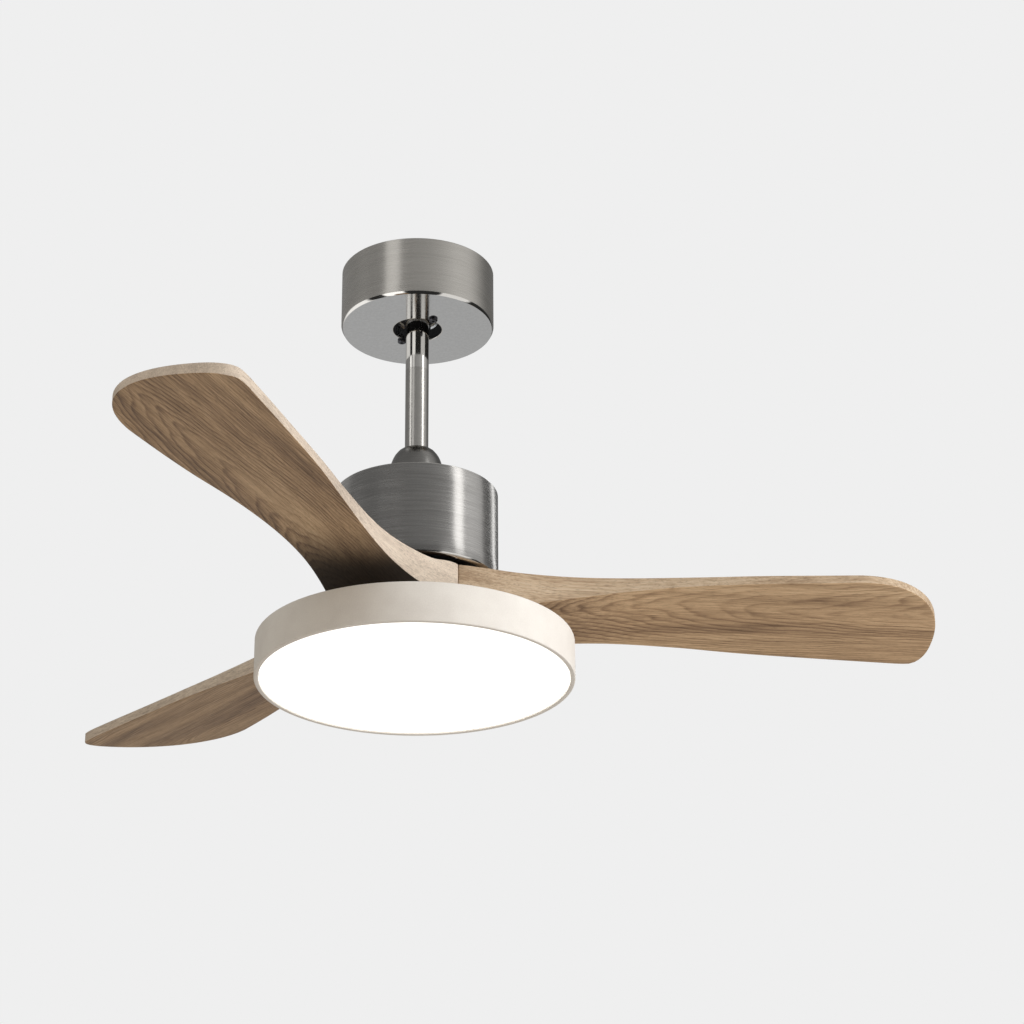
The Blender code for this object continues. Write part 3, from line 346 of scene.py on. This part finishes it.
def cut(piece, cutter):
    """Takes the cutter's shape out of the piece."""
    bpy.ops.object.select_all(action="DESELECT")
    bpy.context.view_layer.objects.active = piece
    step = piece.modifiers.new("cut", "BOOLEAN")
    step.operation = "DIFFERENCE"
    step.solver = "EXACT"
    step.object = cutter
    bpy.ops.object.modifier_apply(modifier=step.name)
    bpy.data.objects.remove(cutter, do_unlink=True)


def hang(piece, body, *replaced):
    """Rides the piece on its body in place of the CAD nodes it stands for."""
    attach(piece, body)
    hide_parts(*replaced)
    return piece


# Canopy: a spun cup with a rolled bright lip and a mirror-polished underside.

CANOPY_RADIUS = 0.078
CANOPY_BOTTOM = -0.064
LIP = 0.0028
HOLE = 0.0248
SHEET = 0.0012
LIP_CUT = 0.0003            # the narrow chamfers on the canopy's rims
NOTCH_ANGLES = (-56, 124)
NOTCH_CENTRE = 0.0285
NOTCH_RADIUS = 0.0032
NOTCH_MOUTH = 0.0253        # the middle of the slot that opens each notch into the hole


def make_canopy():
    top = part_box("canopy")[1].z
    inner_corner = (CANOPY_RADIUS - LIP, CANOPY_BOTTOM + LIP)
    flat = CANOPY_RADIUS - LIP / 2 - LIP_CUT
    outline = [(CANOPY_RADIUS - LIP_CUT, top), (CANOPY_RADIUS, top - 0.0004)]
    outline += [(CANOPY_RADIUS, top - 0.012 * i) for i in range(1, 5)]
    outline += [(CANOPY_RADIUS, CANOPY_BOTTOM + LIP + 0.0004),
                (CANOPY_RADIUS - 0.0001, CANOPY_BOTTOM + LIP),
                (CANOPY_RADIUS - LIP / 2, CANOPY_BOTTOM + LIP_CUT), (flat, CANOPY_BOTTOM),
                (0.0600, CANOPY_BOTTOM), (0.0420, CANOPY_BOTTOM), (HOLE + 0.0012, CANOPY_BOTTOM)]
    outline += arc((HOLE + 0.0006, CANOPY_BOTTOM + 0.0006), 0.0006, 0, -160, 6)
    outline += [(HOLE + 0.0010, CANOPY_BOTTOM + SHEET), (0.0600, CANOPY_BOTTOM + SHEET)]
    outline += arc(inner_corner, LIP - SHEET, 0, 90, 4)
    outline += [(CANOPY_RADIUS - SHEET, top - 0.012), (CANOPY_RADIUS - SHEET, top)]
    canopy = turned("canopy_cup", outline, canopy_nickel)
    for angle in NOTCH_ANGLES:
        turn = radians(angle)
        place = (NOTCH_CENTRE * cos(turn), NOTCH_CENTRE * sin(turn), CANOPY_BOTTOM)
        bpy.ops.object.select_all(action="DESELECT")
        bpy.ops.mesh.primitive_cylinder_add(vertices=28, radius=NOTCH_RADIUS, depth=0.006, location=place)
        cut(canopy, bpy.context.object)
        mouth = (NOTCH_MOUTH * cos(turn), NOTCH_MOUTH * sin(turn), CANOPY_BOTTOM)
        bpy.ops.mesh.primitive_cube_add(size=2 * NOTCH_RADIUS, location=mouth, rotation=(0, 0, turn))
        cut(canopy, bpy.context.object)
    bpy.context.view_layer.objects.active = canopy
    canopy.select_set(True)
    bpy.ops.object.shade_smooth_by_angle(angle=radians(28))
    underside = CANOPY_BOTTOM + 0.0004
    paint(canopy, polished_nickel, lambda f: f.center.z < CANOPY_BOTTOM + LIP and from_axis(f) > flat)
    paint(canopy, mirror_nickel, lambda f: f.center.z < underside and from_axis(f) <= flat)
    paint(canopy, polished_nickel, lambda f: f.center.z < CANOPY_BOTTOM + SHEET
          and from_axis(f) < HOLE + 0.0010)
    paint(canopy, raw_inside, lambda f: f.center.z > underside
          and from_axis(f) < CANOPY_RADIUS - 0.0007 and f.material_index == 0)
    return hang(canopy, "ceiling_mount", "canopy")


# Downrod: a tube, polished where it leaves the canopy and satin below.

ROD_RADIUS = 0.0118
ROD_BORE = 0.0092
ROD_CHAMFER = 0.0006
POLISH_END = -0.1120


def make_rod():
    low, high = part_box("downrod")
    outline = [(ROD_BORE, high.z), (ROD_RADIUS - ROD_CHAMFER, high.z), (ROD_RADIUS, high.z - ROD_CHAMFER),
               (ROD_RADIUS, -0.060), (ROD_RADIUS, POLISH_END), (ROD_RADIUS, -0.150),
               (ROD_RADIUS, low.z + ROD_CHAMFER), (ROD_RADIUS - ROD_CHAMFER, low.z), (ROD_BORE, low.z)]
    rod = turned("downrod_tube", outline, satin_nickel, 96)
    paint(rod, polished_nickel, lambda f: f.center.z > POLISH_END)
    return hang(rod, "hanging", "downrod")


def make_coupling_cover():
    """The dome over the rod's joint, with a rolled neck and a foot that sits on the motor."""
    low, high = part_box("coupling_cover")
    shape = [(0.0124, high.z), (0.0134, high.z - 0.0002),
             (0.0150, high.z - 0.0007), (0.0164, high.z - 0.0014),
             (0.0186, high.z - 0.0031), (0.0203, high.z - 0.0052), (0.0218, high.z - 0.0073),
             (0.0231, high.z - 0.0096), (0.0243, high.z - 0.0124), (0.0253, high.z - 0.0154),
             (0.0264, high.z - 0.0196), (0.0273, high.z - 0.0246), (0.0281, high.z - 0.0302),
             (0.0288, high.z - 0.0364), (0.0297, high.z - 0.0470),
             (0.0300, low.z + 0.0004), (0.0300, low.z)]
    inside = [(radius - 0.0012, z - 0.0004) for radius, z in shape[3:-2]]
    outline = shape + [(0.0288, low.z)] + inside[::-1] + [(0.0124, high.z - 0.0016)]
    return hang(turned("coupling_dome", outline, dark_nickel, 96), "hanging", "coupling_cover")


# Motor cover: a brushed can, open below, with a bright bevelled lower rim.

def make_motor_cover():
    low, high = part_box("motor_cover")
    radius = high.x
    edge, rim = 0.0010, 0.0024
    outline = [(0.0130, high.z), (0.0400, high.z), (0.0650, high.z)]
    outline += arc((radius - edge, high.z - edge), edge, 180, 90, 5)
    outline += [(radius, high.z - 0.019 * i) for i in range(1, 5)]
    outline += [(radius, low.z + rim), (radius - 0.0004, low.z + rim * 0.55),
                (radius - 0.0012, low.z + rim * 0.2),
                (radius - rim, low.z), (radius - 0.0055, low.z)]
    outline += [(radius - 0.0055, low.z + 0.0012), (radius - 0.0030, low.z + 0.0014),
                (radius - 0.0012, low.z + rim + 0.0012), (radius - 0.0012, high.z - 0.0015),
                (0.0130, high.z - 0.0015)]
    cover = turned("motor_can", outline, brushed_nickel, 160)
    paint(cover, polished_nickel, lambda f: from_axis(f) > radius - 0.0056 and f.center.z < low.z + rim
          or from_axis(f) > radius - edge and f.center.z > high.z - edge)
    return hang(cover, "hanging", "motor_cover")


# Light: an enamelled pan with a rounded lower rim round the opal cover.

def make_pan():
    low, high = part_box("lamp_pan")
    radius = high.x
    back = -0.4092
    rim = 0.0046
    outline = [(0.0180, high.z), (0.0490, high.z), (0.0500, high.z - 0.0010), (0.0500, back + 0.0008),
               (0.0508, back), (0.1000, back), (radius - 0.0050, back)]
    outline += arc((radius - 0.0014, back - 0.0014), 0.0014, 180, 90, 5)
    outline += [(radius, back - 0.010), (radius, back - 0.020), (radius, low.z + 0.009)]
    outline += arc((radius - 0.0012, low.z + 0.0012), 0.0012, 90, 0, 5)
    outline += arc((radius - rim + 0.0008, low.z + 0.0008), 0.0008, 0, -90, 4)
    outline += [(radius - rim, low.z + 0.0040), (radius - 0.0016, low.z + 0.0060),
                (radius - 0.0016, back - SHEET), (0.0488, back - SHEET),
                (0.0488, high.z - SHEET), (0.0180, high.z - SHEET)]
    return hang(turned("lamp_pan_shell", outline, enamel, 192), "hanging", "lamp_pan")


def make_diffuser():
    low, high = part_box("diffuser")
    radius = high.x
    bulge = 0.0011
    edge = 0.0018
    face = low.z + bulge
    wall = 0.0020
    crown = [(POLE_RADIUS + (radius - edge) * i / 8, face - bulge * (1 - (i / 8) ** 2)) for i in range(9)]
    outer = arc((radius - edge, face + edge), edge, 12, 90, 6)
    outline = crown + outer
    outline += [(radius, high.z), (radius - wall, high.z), (radius - wall, face + wall + 0.0008)]
    outline += [(max(r * 0.984, POLE_RADIUS), z + wall) for r, z in reversed(crown)]
    return hang(turned("opal_cover", outline, opal, 192, closed=False), "diffuser", "diffuser")


# Blades.

BLADE_COUNT = 3
BLADE_TURN = 5.2            # degrees from +X to the first blade
BLADE_TIP = 0.5285
TIP_Y = 0.045
LEAD_CORNER = 0.430
TRAIL_CORNER = 0.511
CORNER_POWER = 2.2
WOOD_TOP = -0.3506
WOOD_BOTTOM = -0.3900
ROOT_X = 0.0205
SEAM_GAP = 0.0003           # between neighbouring blades
HUB_PLATE = 0.064           # the flat that the hub plate needs on top
HUB_BLEND = 0.030
PAINTED_SHADE_END = 0.225           # how far out the painted root shade reaches
PAINTED_SHADE_FADE = 0.10
# Along the blade, its half width, then the heights of its four long edges.
HALF_WIDTH = ((0.036, 0.0624), (0.065, 0.0560), (0.100, 0.0483), (0.150, 0.0441), (0.200, 0.0464),
              (0.270, 0.0553), (0.340, 0.0655), (0.420, 0.0730), (0.500, 0.0795))
LEAD_TOP = ((0.036, WOOD_TOP), (0.150, -0.3509), (0.330, -0.3500), (0.410, -0.3490), (0.500, -0.3470),
            (0.530, -0.3465))
LEAD_BOTTOM = ((0.060, WOOD_BOTTOM), (0.083, -0.3880), (0.105, -0.3832), (0.147, -0.3744), (0.178, -0.3692),
               (0.209, -0.3651), (0.249, -0.3615), (0.289, -0.3597), (0.330, -0.3590), (0.410, -0.3575),
               (0.500, -0.3540), (0.530, -0.3530))
TRAIL_TOP = ((0.036, WOOD_TOP), (0.066, -0.3571), (0.105, -0.3602), (0.145, -0.3627), (0.200, -0.3654),
             (0.300, -0.3693), (0.360, -0.3705), (0.486, -0.3688), (0.530, -0.3684))
TRAIL_BOTTOM = ((0.060, WOOD_BOTTOM), (0.105, -0.3896), (0.147, -0.3868), (0.200, -0.3833),
                (0.270, -0.3811), (0.316, -0.3808), (0.486, -0.3793), (0.530, -0.3790))
# Each blade is from its own board, and differs from the others in root, side and tone. The dark roots and
# the darker tone of the left blades are painted shade, and the pale sides painted light, on the hanging
# fan; real wood doesn't carry them.
BOARD_SHIFTS = ((0, 0, 0), (0.93, 0.006, 0.003), (1.87, -0.010, -0.004))
PAINTED_ROOT_SHADES = (0.10, 0.35, 0.85)
PAINTED_SIDE_LIGHTS = (0.0, 0.38, 0.42)
PAINTED_BLADE_SHADES = (0.0, 0.22, 0.10)
ALONG, ACROSS = 84, 20      # the blade's squares along and across


def blend(amount):
    """A soft step: 0 below 0, 1 above 1, and level at both ends."""
    amount = min(max(amount, 0), 1)
    return amount * amount * (3 - 2 * amount)


def through(points, x):
    """The height at x of a smooth curve through (x, height) points."""
    if x <= points[0][0]:
        slope = (points[1][1] - points[0][1]) / (points[1][0] - points[0][0])
        return points[0][1] + slope * (x - points[0][0])
    if x >= points[-1][0]:
        return points[-1][1]
    i = max(n for n, point in enumerate(points[:-1]) if point[0] <= x)

    def slope_at(n):
        before, after = points[max(n - 1, 0)], points[min(n + 1, len(points) - 1)]
        return (after[1] - before[1]) / (after[0] - before[0])

    (x0, y0), (x1, y1) = points[i], points[i + 1]
    span = x1 - x0
    t = (x - x0) / span
    return (y0 * (1 + 2 * t) * (1 - t) ** 2 + slope_at(i) * span * t * (1 - t) ** 2
            + y1 * t * t * (3 - 2 * t) + slope_at(i + 1) * span * t * t * (t - 1))


def half_width(x):
    """Half the blade's width; near the hub the blades meet along lines 60 degrees from the middle."""
    return min(through(HALF_WIDTH, x), x * sqrt(3) - SEAM_GAP)


def blade_top(x, y):
    width = through(HALF_WIDTH, max(x, HALF_WIDTH[0][0]))
    across = min(max((y + width) / (2 * width), 0), 1)
    lead, trail = (through(edge, max(x, edge[0][0])) for edge in (LEAD_TOP, TRAIL_TOP))
    clear_of_hub = blend((hypot(x, y) - HUB_PLATE) / HUB_BLEND)
    return WOOD_TOP + (lead + (trail - lead) * across - WOOD_TOP) * clear_of_hub


def blade_bottom(x, y):
    width = through(HALF_WIDTH, max(x, HALF_WIDTH[0][0]))
    across = min(max((y + width) / (2 * width), 0), 1)
    lead, trail = (through(edge, max(x, edge[0][0])) for edge in (LEAD_BOTTOM, TRAIL_BOTTOM))
    return lead + (trail - lead) * across


def corner(start, side, turn):
    """A point on the tip's rounded corner; turn goes from 0 on the edge to 90 at the very tip."""
    reach = abs(side * half_width(start) - TIP_Y)
    power = 2 / CORNER_POWER
    return (start + (BLADE_TIP - start) * sin(radians(turn)) ** power,
            TIP_Y + side * reach * max(cos(radians(turn)), 0) ** power)


def evenly(points, count):
    """Spaces count + 1 points evenly along a line through the given points."""
    lengths = [0]
    for a, b in zip(points, points[1:]):
        lengths.append(lengths[-1] + hypot(b[0] - a[0], b[1] - a[1]))
    spaced = []
    for step in range(count + 1):
        goal = lengths[-1] * step / count
        i = min(max(n for n, length in enumerate(lengths) if length <= goal + 1e-12), len(points) - 2)
        t = (goal - lengths[i]) / (lengths[i + 1] - lengths[i])
        spaced.append(tuple(p + (q - p) * t for p, q in zip(points[i], points[i + 1])))
    return spaced


def blade_sides():
    """The blade's four sides in plan: leading edge, trailing edge, root and tip."""
    lead_turn, trail_turn = 52, 45
    xs = [ROOT_X + (LEAD_CORNER - ROOT_X) * i / 160 for i in range(161)]
    lead = [(x, -half_width(x)) for x in xs]
    lead += [corner(LEAD_CORNER, -1, lead_turn * i / 40) for i in range(1, 41)]
    xs = [ROOT_X + (TRAIL_CORNER - ROOT_X) * i / 180 for i in range(181)]
    trail = [(x, half_width(x)) for x in xs]
    trail += [corner(TRAIL_CORNER, 1, trail_turn * i / 24) for i in range(1, 25)]
    tip = [corner(LEAD_CORNER, -1, lead_turn + (90 - lead_turn) * i / 60) for i in range(61)]
    tip += [corner(TRAIL_CORNER, 1, 90 - (90 - trail_turn) * i / 40) for i in range(1, 41)]
    root = [lead[0], trail[0]]
    return evenly(lead, ALONG), evenly(trail, ALONG), evenly(root, ACROSS), evenly(tip, ACROSS)


def make_blade_blank():
    """Carves one blade along +X: a grid stretched to the plan, given its thickness, then edge-rounded."""
    lead, trail, root, tip = blade_sides()
    bpy.ops.object.select_all(action="DESELECT")
    bpy.ops.mesh.primitive_grid_add(x_subdivisions=ALONG, y_subdivisions=ACROSS, size=1)
    blank = bpy.context.object
    bpy.ops.object.mode_set(mode="EDIT")
    bpy.ops.mesh.select_all(action="SELECT")
    bpy.ops.mesh.extrude_region_move(TRANSFORM_OT_translate={"value": (0, 0, 1)})
    bpy.ops.mesh.select_all(action="SELECT")
    bpy.ops.mesh.normals_make_consistent(inside=False)
    bpy.ops.object.mode_set(mode="OBJECT")
    for vert in blank.data.vertices:
        u, v = vert.co.x + 0.5, vert.co.y + 0.5
        i, j = round(u * ALONG), round(v * ACROSS)
        plan = []
        for axis in (0, 1):
            across = lead[i][axis] * (1 - v) + trail[i][axis] * v
            along = root[j][axis] * (1 - u) + tip[j][axis] * u
            corners = ((lead[0][axis] * (1 - v) + trail[0][axis] * v) * (1 - u)
                       + (lead[-1][axis] * (1 - v) + trail[-1][axis] * v) * u)
            plan.append(across + along - corners)
        height = blade_top(*plan) if vert.co.z > 0.5 else blade_bottom(*plan)
        vert.co = (*plan, height)
    edge = blank.modifiers.new("edge rounding", "BEVEL")
    edge.width = 0.0011
    edge.segments = 3
    edge.limit_method = "ANGLE"
    edge.angle_limit = radians(40)
    bpy.ops.object.modifier_apply(modifier=edge.name)
    bpy.ops.object.shade_smooth_by_angle(angle=radians(35))
    blank.data.materials.append(walnut_face)
    paint(blank, walnut_edge, lambda f: abs(f.normal.z) < 0.5)
    return blank


def make_blades():
    blank = make_blade_blank()
    for number in range(BLADE_COUNT):
        blade = blank.copy()
        blade.data = blank.data.copy()
        blade.name = blade.data.name = f"walnut_blade_{number + 1}"
        bpy.context.scene.collection.objects.link(blade)
        attributes = blade.data.attributes
        attributes.new("board", "FLOAT_VECTOR", "POINT")
        attributes.new("painted_wood_shade", "FLOAT", "POINT")
        attributes.new("painted_side_light", "FLOAT", "POINT")
        columns = [attributes[key].data for key in ("board", "painted_wood_shade", "painted_side_light")]
        # Painted shade darkens each blade's faces by its tone and more towards the root; painted light
        # makes its sides paler.
        for vert, place, dark, pale in zip(blade.data.vertices, *columns):
            place.vector = vert.co + Vector(BOARD_SHIFTS[number])
            dark.value = PAINTED_BLADE_SHADES[number] + PAINTED_ROOT_SHADES[number] * blend((PAINTED_SHADE_END - vert.co.x) / PAINTED_SHADE_FADE)
            pale.value = PAINTED_SIDE_LIGHTS[number]
        bpy.ops.object.select_all(action="DESELECT")
        blade.select_set(True)
        bpy.context.view_layer.objects.active = blade
        blade.rotation_euler.z = radians(BLADE_TURN + number * 360 / BLADE_COUNT)
        bpy.ops.object.transform_apply(rotation=True)
        hang(blade, "rotor", f"blade_{number + 1}")
    bpy.data.objects.remove(blank, do_unlink=True)


canopy = make_canopy()
rod = make_rod()
dome = make_coupling_cover()
motor = make_motor_cover()
make_pan()
make_diffuser()
make_blades()


# Studio: a pale floor, a plain surround and soft lights.

FLOOR_RADIUS = 30
FLOOR_HEIGHT = -3.0

bpy.context.scene.view_settings.view_transform = "Standard"
bpy.ops.object.select_all(action="DESELECT")
bpy.ops.mesh.primitive_circle_add(vertices=96, radius=FLOOR_RADIUS, fill_type="NGON",
                                  location=(0, 0, FLOOR_HEIGHT))
floor = bpy.context.object
floor.name = "studio_floor"
floor.data.materials.append(grained("painted_floor", "e6e6e4", "e0e0de", 6, 0.1, 0.8,
                                    Emission_Color=linear("efefef"), Emission_Strength=0.42))
floor.visible_glossy = floor.visible_diffuse = False

world = bpy.data.worlds.new("studio")
bpy.context.scene.world = world
world.use_nodes = True
tree = world.node_tree
backdrop = tree.nodes["Background"]
backdrop.inputs["Color"].default_value = linear("efefef")
direction = add_node(tree, "ShaderNodeTexCoord").outputs["Generated"]
split = add_node(tree, "ShaderNodeSeparateXYZ", {"Vector": direction})
sideways, away, height = split.outputs
toward = add_node(tree, "ShaderNodeMath", {0: away, 1: -1.0}, operation="MULTIPLY").outputs[0]
azimuth = add_node(tree, "ShaderNodeMath", {0: sideways, 1: toward}, operation="ARCTAN2").outputs[0]


def panels(stops):
    """Light and dark walls round the studio; each stop is (degrees from the front towards +X, level)."""
    turn = add_node(tree, "ShaderNodeMapRange", {"Value": azimuth, "From Min": -pi, "From Max": pi})
    return ramp(tree, turn.outputs[0], [((angle + 180) / 360, level) for angle, level in stops])


upper = panels([(-180, 0.20), (-150, 0.24), (-106, 0.24), (-96, 0.28), (-40, 0.28), (-10, 0.33), (16, 0.38),
                (32, 0.44), (46, 0.52), (60, 0.62), (84, 0.62), (96, 0.50), (112, 0.28), (124, 0.18),
                (144, 0.17), (150, 0.18), (180, 0.18)])
lower = panels([(-180, 0.52), (-150, 0.50), (-118, 1.3), (-80, 1.3), (-73, 0.03), (-53, 0.03), (-49, 1.6),
                (-22, 1.6), (-18, 0.03), (33, 0.03), (37, 1.0), (78, 1.0), (83, 0.03), (146, 0.03),
                (160, 0.50), (180, 0.52)])
side = add_node(tree, "ShaderNodeMapRange", {"Value": height, "From Min": -0.02, "From Max": 0.10})
walls = add_node(tree, "ShaderNodeMix", {"Factor": side.outputs[0], "A": lower, "B": upper},
                 data_type="RGBA")
reflected = add_node(tree, "ShaderNodeBackground", {"Color": walls.outputs["Result"]})
glow = ramp(tree, add_node(tree, "ShaderNodeMapRange", {"Value": height, "From Min": -1.0}).outputs[0],
            [(0.0, "a89e91"), (0.40, "aaa090"), (0.55, "a9a190"), (1.0, "a5a5a5")])
surround = add_node(tree, "ShaderNodeBackground", {"Color": glow})
rays = add_node(tree, "ShaderNodeLightPath")
for_matt = add_node(tree, "ShaderNodeMixShader", {0: rays.outputs["Is Glossy Ray"], 1: surround.outputs[0],
                                                  2: reflected.outputs[0]})
for_all = add_node(tree, "ShaderNodeMixShader", {0: rays.outputs["Is Camera Ray"], 1: for_matt.outputs[0],
                                                 2: backdrop.outputs[0]})
tree.links.new(for_all.outputs[0], tree.nodes["World Output"].inputs["Surface"])


def soft_light(name, azimuth, height, width, tall, power, shines_on=(), distance=2.2, aim=-0.2):
    """A soft box; azimuth is measured from the front towards +X. A strip lights only the pieces in
    shines_on, and shows in them. A box without any lights everything and shows in no reflection."""
    data = bpy.data.lights.new(name, "AREA")
    data.shape = "RECTANGLE"
    data.size, data.size_y = width, tall
    data.energy = power
    light = bpy.data.objects.new(name, data)
    light.location = (distance * sin(radians(azimuth)), -distance * cos(radians(azimuth)), height)
    light.rotation_euler = (Vector((0, 0, aim)) - light.location).to_track_quat("-Z", "Y").to_euler()
    light.visible_camera = False
    light.visible_glossy = bool(shines_on)
    if shines_on:
        group = bpy.data.collections.new(name + "_receivers")
        for piece in shines_on:
            group.objects.link(piece)
        light.light_linking.receiver_collection = group
    bpy.context.scene.collection.objects.link(light)


soft_light("key_right", 60, 0.35, 1.4, 1.4, 35)
soft_light("fill_left", -28, 0.1, 1.6, 1.4, 9)
soft_light("fill_low", 74, -1.5, 1.2, 1.0, 15, distance=1.7)
soft_light("canopy_strip", -38, 1.15, 0.86, 1.5, 2.0, (canopy, rod))
soft_light("rod_strip", -66, 0.9, 0.60, 1.5, 3.4, (rod,))
soft_light("motor_strip", 61, 0.8, 0.58, 1.6, 7.4, (motor, rod))
soft_light("motor_fade_strip", 88, 0.8, 1.4, 1.5, 3.8, (motor,))
soft_light("motor_edge_strip", 137, 0.8, 0.4, 1.4, 4.0, (motor,))
soft_light("dome_strip", 52, 0.8, 0.5, 1.6, 3.0, (dome,))
soft_light("motor_back_strip", -140, 0.8, 2.8, 1.6, 3.0, (motor,))
